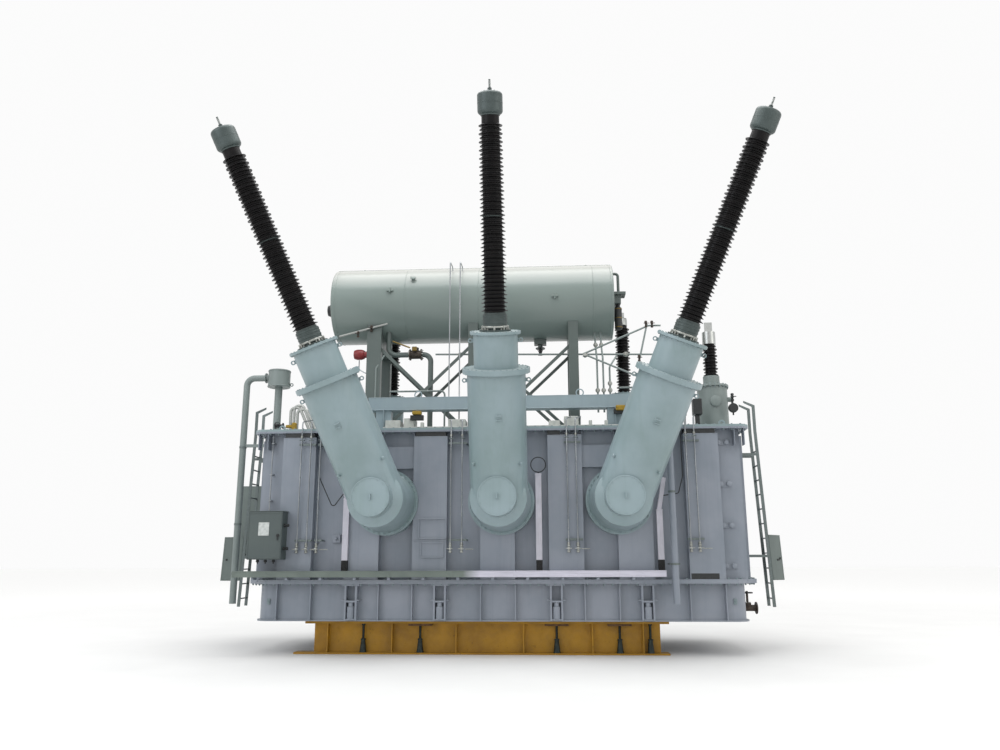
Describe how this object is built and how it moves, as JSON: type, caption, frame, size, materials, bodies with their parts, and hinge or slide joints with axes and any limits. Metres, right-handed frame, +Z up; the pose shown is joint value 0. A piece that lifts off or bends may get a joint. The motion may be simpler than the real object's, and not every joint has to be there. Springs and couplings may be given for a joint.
{
  "type": "power transformer",
  "caption": "Oil-filled power transformer with leaning high-voltage bushings on wall turrets, a conservator above the cover, end ladders and a steel stand.",
  "frame": {"origin": "floor level under the middle of the tank", "axes": "+X along the tank to the right seen from the high-voltage side, +Y away from the high-voltage side, +Z up"},
  "size_m": [11.2056, 6.6713, 9.5999],
  "materials": {
    "beam_paint": "satin enamel",
    "bright_metal": "bright sheet aluminium",
    "cabinet_paint": "satin enamel",
    "cap_metal": "dull cast aluminium",
    "conservator_paint": "satin enamel",
    "galvanised_steel": "hot-dip galvanised",
    "insulator_glaze": "dark glazed porcelain",
    "jack_steel": "dark oiled steel",
    "lead_sheath": "matt black cable sheath",
    "relay_paint": "satin enamel",
    "stand_paint": "satin enamel",
    "tank_paint": "satin enamel",
    "turret_paint": "satin enamel",
    "valve_iron": "painted casting"
  },
  "bodies": {
    "transformer": {"cable_ducts": "bright_metal", "cable_tray": "bright_metal", "centre_bushing_foot": "cap_metal", "centre_bushing_insulator": "insulator_glaze", "centre_bushing_terminal": "cap_metal", "centre_turret": "turret_paint", "centre_turret_head": "turret_paint", "conservator_bracing": "conservator_paint", "conservator_left_end": "conservator_paint", "conservator_left_frame": "conservator_paint", "conservator_middle_frame": "conservator_paint", "conservator_right_end": "conservator_paint", "conservator_right_frame": "conservator_paint", "conservator_shell": "conservator_paint", "control_cabinet": "cabinet_paint", "cross_beam": "beam_paint", "drain_valve": "valve_iron", "drop_pipe": "tank_paint", "end_cabinet": "cabinet_paint", "end_wall_stiffeners": "tank_paint", "front_wall_stiffeners": "tank_paint", "gas_relay": "relay_paint", "jacking_brackets": "tank_paint", "left_bushing_foot": "cap_metal", "left_bushing_insulator": "insulator_glaze", "left_bushing_terminal": "cap_metal", "left_ladder": "galvanised_steel", "left_turret": "turret_paint", "left_turret_head": "turret_paint", "levelling_jacks": "jack_steel", "low_bushing_turrets": "turret_paint", "low_bushings": "insulator_glaze", "lower_tank": "tank_paint", "neutral_insulator": "insulator_glaze", "neutral_terminal": "cap_metal", "neutral_turret": "turret_paint", "rear_wall_stiffeners": "tank_paint", "relay_pipe": "tank_paint", "relief_device": "tank_paint", "relief_discharge_pipe": "tank_paint", "right_bushing_foot": "cap_metal", "right_bushing_insulator": "insulator_glaze", "right_bushing_terminal": "cap_metal", "right_ladder": "galvanised_steel", "right_turret": "turret_paint", "right_turret_head": "turret_paint", "signal_leads": "lead_sheath", "stand_cross_girders": "stand_paint", "stand_front_girder": "stand_paint", "stand_rear_girder": "stand_paint", "tank_cover": "tank_paint", "tray_ribs": "tank_paint", "turret_hatches": "turret_paint", "upper_tank": "tank_paint"},
    "cabinet_door": {"control_cabinet_door": "cabinet_paint"},
    "left_guard": {"left_ladder_guard": "galvanised_steel"},
    "right_guard": {"right_ladder_guard": "galvanised_steel"},
    "handwheel": {"drain_handwheel": "valve_iron"}
  },
  "joints": [
    {"name": "cabinet_door_hinge", "type": "hinge", "parent": "transformer", "child": "cabinet_door", "pos_m": [-4.605, -2.0303, 1.715], "axis": [0, 0, -1], "range_deg": [0, 110]},
    {"name": "left_guard_hinge", "type": "hinge", "parent": "transformer", "child": "left_guard", "pos_m": [-5.26088, -0.6, 1.3], "axis": [-0.0382, 0, -0.9993], "range_deg": [-50, 85]},
    {"name": "right_guard_hinge", "type": "hinge", "parent": "transformer", "child": "right_guard", "pos_m": [5.26088, -0.6, 1.3], "axis": [-0.0382, 0, 0.9993], "range_deg": [-90, 45]},
    {"name": "drain_handwheel_turn", "type": "hinge", "parent": "transformer", "child": "handwheel", "pos_m": [4.71, -0.7, 1.0553], "axis": [0, 0, 1], "continuous": true}
  ]
}
